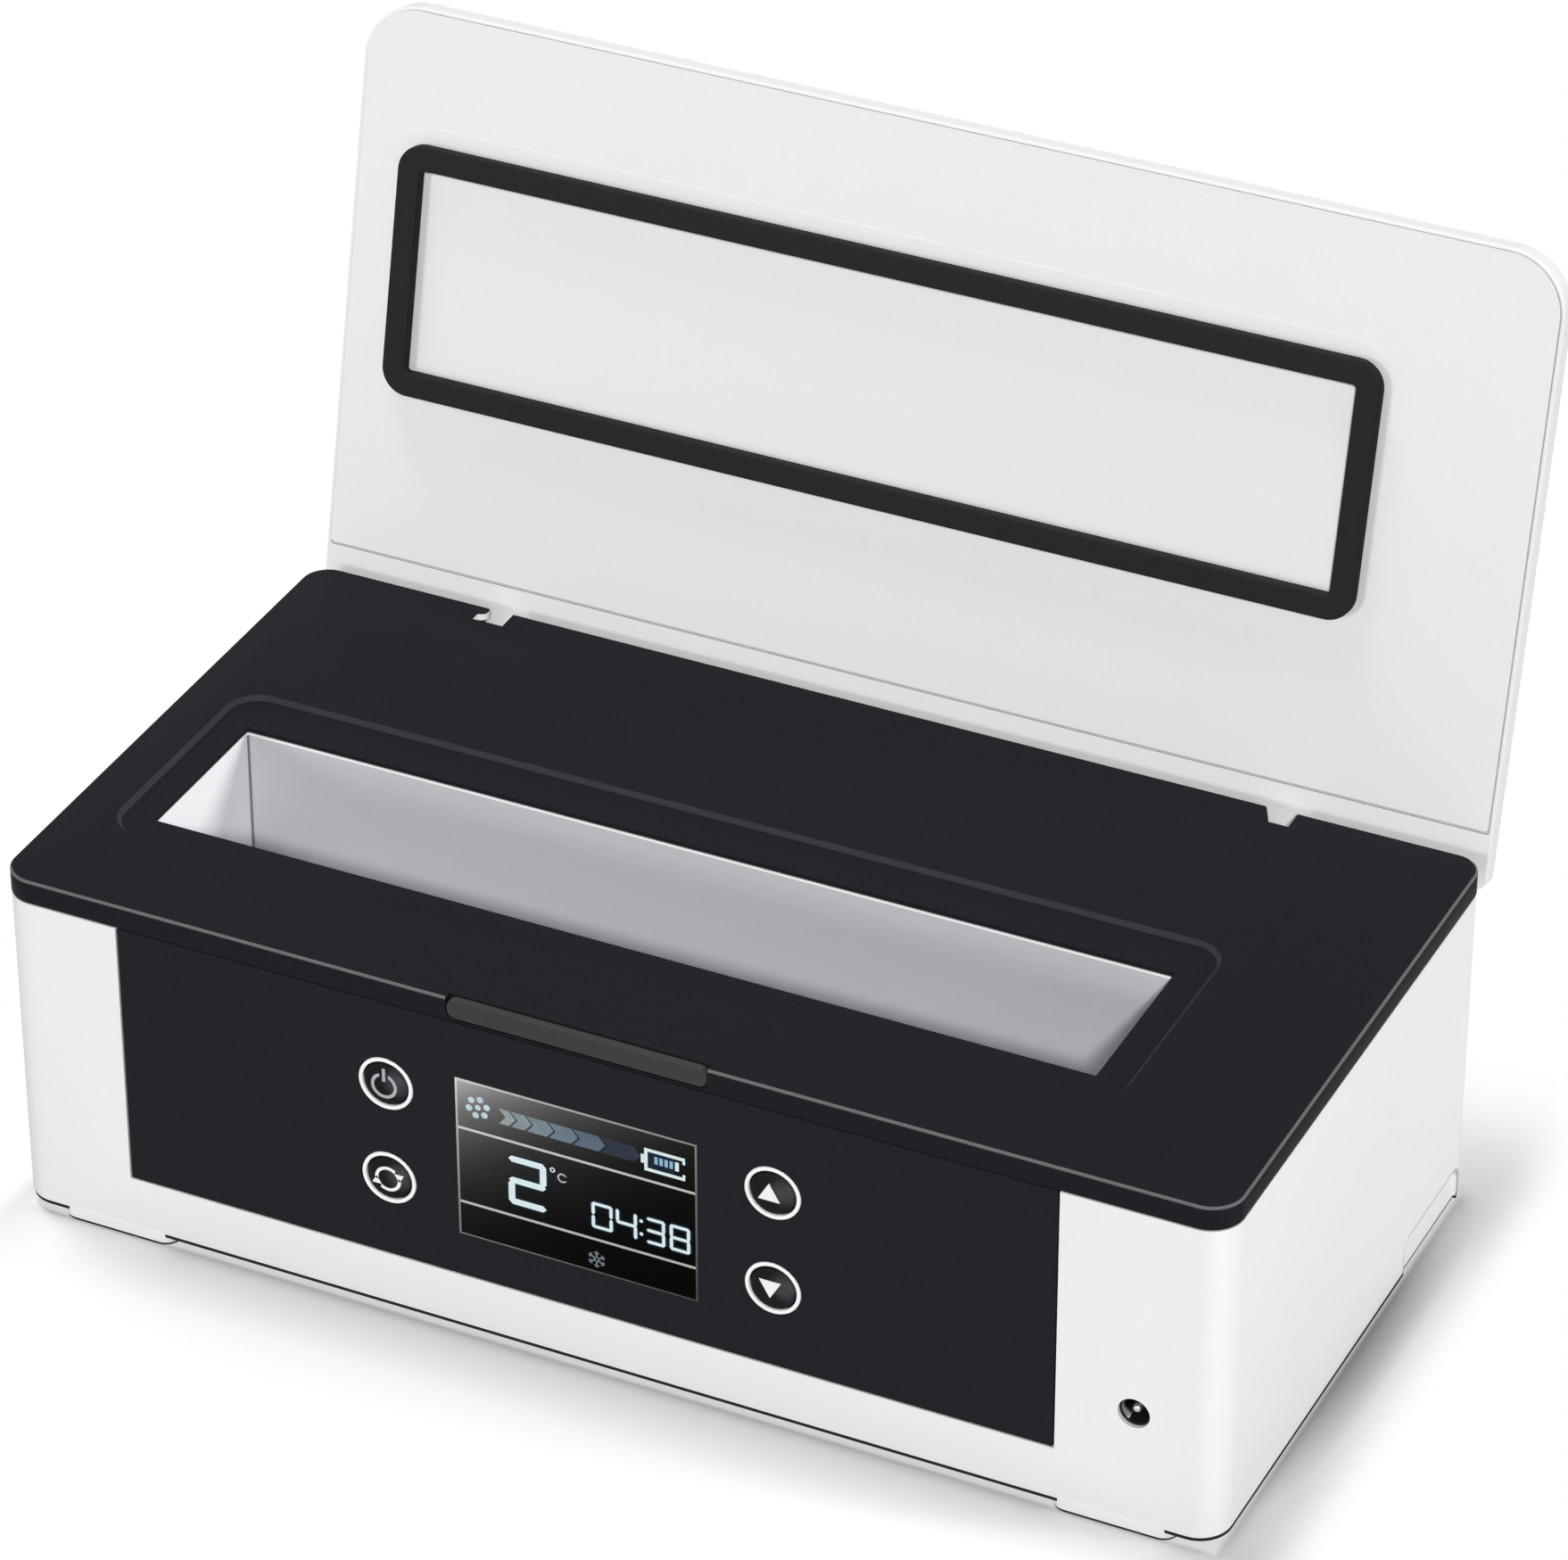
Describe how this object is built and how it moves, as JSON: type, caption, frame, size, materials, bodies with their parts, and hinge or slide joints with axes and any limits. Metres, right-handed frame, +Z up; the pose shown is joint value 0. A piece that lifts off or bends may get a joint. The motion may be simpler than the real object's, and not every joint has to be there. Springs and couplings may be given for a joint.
{
  "type": "insulin cooling case",
  "caption": "Table-top insulin cooler: white box with a black deck, a long cold chamber, a display and buttons in front, and a hinged lid standing open.",
  "frame": {"origin": "on the table, under the middle of the whole outline with the lid open", "axes": "+X to the right along the front, +Y to the back, +Z up"},
  "size_m": [0.23, 0.1449, 0.1747],
  "materials": {
    "case_white": "fine satin moulded plastic",
    "deck_black": "fine satin black plastic",
    "panel_black": "smooth black front film",
    "grip_grey": "matt dark grey",
    "seal_black": "matt soft rubber",
    "liner_aluminium": "pale anodised sheet",
    "foam_white": "rigid closed-cell foam",
    "ceramic_white": "fired ceramic",
    "steel": "plain steel",
    "window_black": "polished display window",
    "print_white": "white print and lit segments",
    "cap_black": "satin button cap",
    "board_green": "solder mask",
    "part_black": "moulded nylon",
    "socket_metal": "dark plated metal",
    "cell_blue": "shrink wrap"
  },
  "bodies": {
    "case": {"top_deck": "deck_black", "finger_grip": "grip_grey", "lower_housing": "case_white", "bottom_cover": "case_white", "foot_front_left": "case_white", "foot_front_right": "case_white", "foot_rear_left": "case_white", "foot_rear_right": "case_white", "case_screw_front_left": "steel", "case_screw_front_right": "steel", "case_screw_rear_left": "steel", "case_screw_rear_right": "steel", "front_panel": "panel_black", "display_lens": "window_black", "display_module": "part_black", "button_ring_power": "print_white", "button_ring_mode": "print_white", "button_ring_up": "print_white", "button_ring_down": "print_white", "switch_power": "part_black", "switch_mode": "part_black", "switch_up": "part_black", "switch_down": "part_black", "control_board": "board_green", "power_socket": "socket_metal", "power_socket_pin": "steel", "power_socket_collar": "steel", "chamber_liner": "liner_aluminium", "chamber_foam": "foam_white", "cold_block": "liner_aluminium", "temperature_sensor": "ceramic_white", "peltier_module": "ceramic_white", "heat_sink": "liner_aluminium", "fan_frame": "part_black", "cell_tray": "part_black", "battery_cell_front": "cell_blue", "battery_cell_rear": "cell_blue", "main_board": "board_green", "hinge_pin_left": "steel", "hinge_pin_right": "steel", "catch_magnet": "steel"},
    "lid": {"lid_shell": "case_white", "lid_inner_panel": "case_white", "lid_foam": "foam_white", "lid_magnet": "steel", "lid_seal": "seal_black"},
    "power_button": {"button_power": "cap_black"},
    "mode_button": {"button_mode": "cap_black"},
    "up_button": {"button_up": "cap_black"},
    "down_button": {"button_down": "cap_black"},
    "fan": {"fan_rotor": "part_black"}
  },
  "joints": [
    {"name": "lid_hinge", "type": "hinge", "parent": "case", "child": "lid", "pos_m": [0, 0.0376, 0.06654], "axis": [1, 0, 0], "range_deg": [0, 102.85]},
    {"name": "power_button_press", "type": "slide", "parent": "case", "child": "power_button", "axis": [0, 1, 0], "range_m": [0, 0.0008], "stiffness_N_per_m": 400},
    {"name": "mode_button_press", "type": "slide", "parent": "case", "child": "mode_button", "axis": [0, 1, 0], "range_m": [0, 0.0008], "stiffness_N_per_m": 400},
    {"name": "up_button_press", "type": "slide", "parent": "case", "child": "up_button", "axis": [0, 1, 0], "range_m": [0, 0.0008], "stiffness_N_per_m": 400},
    {"name": "down_button_press", "type": "slide", "parent": "case", "child": "down_button", "axis": [0, 1, 0], "range_m": [0, 0.0008], "stiffness_N_per_m": 400},
    {"name": "fan_spin", "type": "hinge", "parent": "case", "child": "fan", "pos_m": [-0.0101, 0.0331, 0.0253], "axis": [0, 1, 0], "continuous": true}
  ]
}
